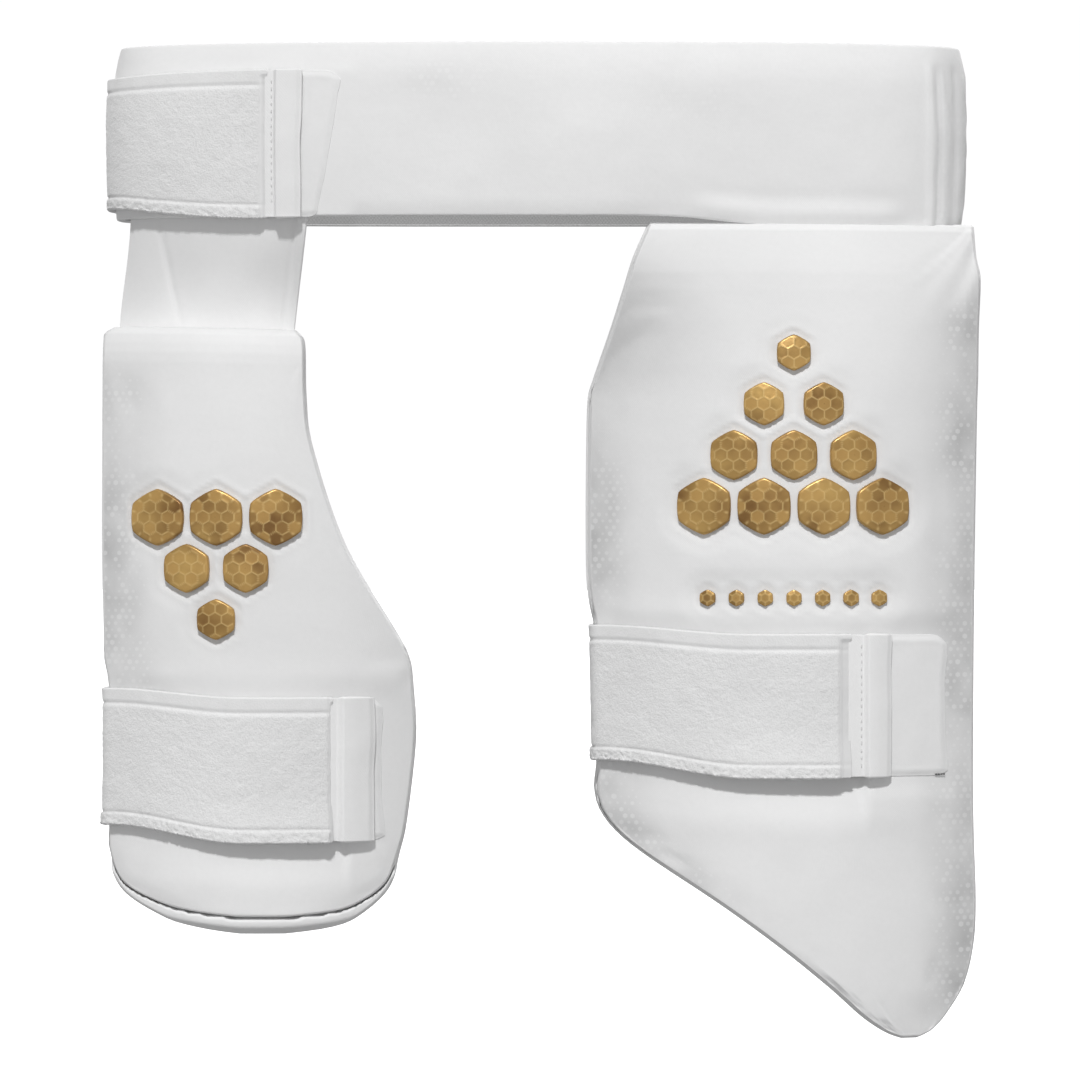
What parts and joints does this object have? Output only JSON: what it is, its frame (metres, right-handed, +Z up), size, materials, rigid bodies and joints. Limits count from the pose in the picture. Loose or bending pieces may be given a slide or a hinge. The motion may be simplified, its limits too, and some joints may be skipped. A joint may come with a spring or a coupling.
{
  "type": "cricket thigh guard",
  "caption": "Combination cricket thigh guard: a waist belt carries a large outer pad and, on a hanger panel, a smaller inner pad, each with a terry thigh strap.",
  "frame": {"origin": "centre of the waist loop at half the belt's height, where the wearer's waist holds it", "axes": "+Z up along the wearer's body, +X to the right as seen from the front, +Y from the pads' faces towards the wearer"},
  "size_m": [0.4053, 0.1647, 0.4559],
  "materials": {
    "belt_fabric": "matt white stretch microfibre with a faint halftone print",
    "pad_fabric": "matt white moulded fabric cover with grey hexagon dots at the sides",
    "terry": "white looped terry elastic",
    "loop_fabric": "white brushed loop fabric",
    "lining": "light grey spacer mesh",
    "gold_relief": "satin gold transfer with a honeycomb of fine lighter lines"
  },
  "bodies": {
    "root": {"waist_belt": "belt_fabric", "waist_strap": "terry", "waist_patch": "loop_fabric", "waist_tab": "loop_fabric", "hanger_panel": "belt_fabric", "outer_pad": "pad_fabric", "outer_backing": "lining", "outer_strap": "terry", "outer_patch": "loop_fabric", "outer_tab": "loop_fabric", "inner_pad": "pad_fabric", "inner_backing": "lining", "inner_strap": "terry", "inner_patch": "loop_fabric", "inner_tab": "loop_fabric", "outer_tile_1": "gold_relief", "outer_tile_2": "gold_relief", "outer_tile_3": "gold_relief", "outer_tile_4": "gold_relief", "outer_tile_5": "gold_relief", "outer_tile_6": "gold_relief", "outer_tile_7": "gold_relief", "outer_tile_8": "gold_relief", "outer_tile_9": "gold_relief", "outer_tile_10": "gold_relief", "inner_tile_1": "gold_relief", "inner_tile_2": "gold_relief", "inner_tile_3": "gold_relief", "inner_tile_4": "gold_relief", "inner_tile_5": "gold_relief", "inner_tile_6": "gold_relief", "outer_stud_1": "gold_relief", "outer_stud_2": "gold_relief", "outer_stud_3": "gold_relief", "outer_stud_4": "gold_relief", "outer_stud_5": "gold_relief", "outer_stud_6": "gold_relief", "outer_stud_7": "gold_relief"}
  },
  "joints": []
}
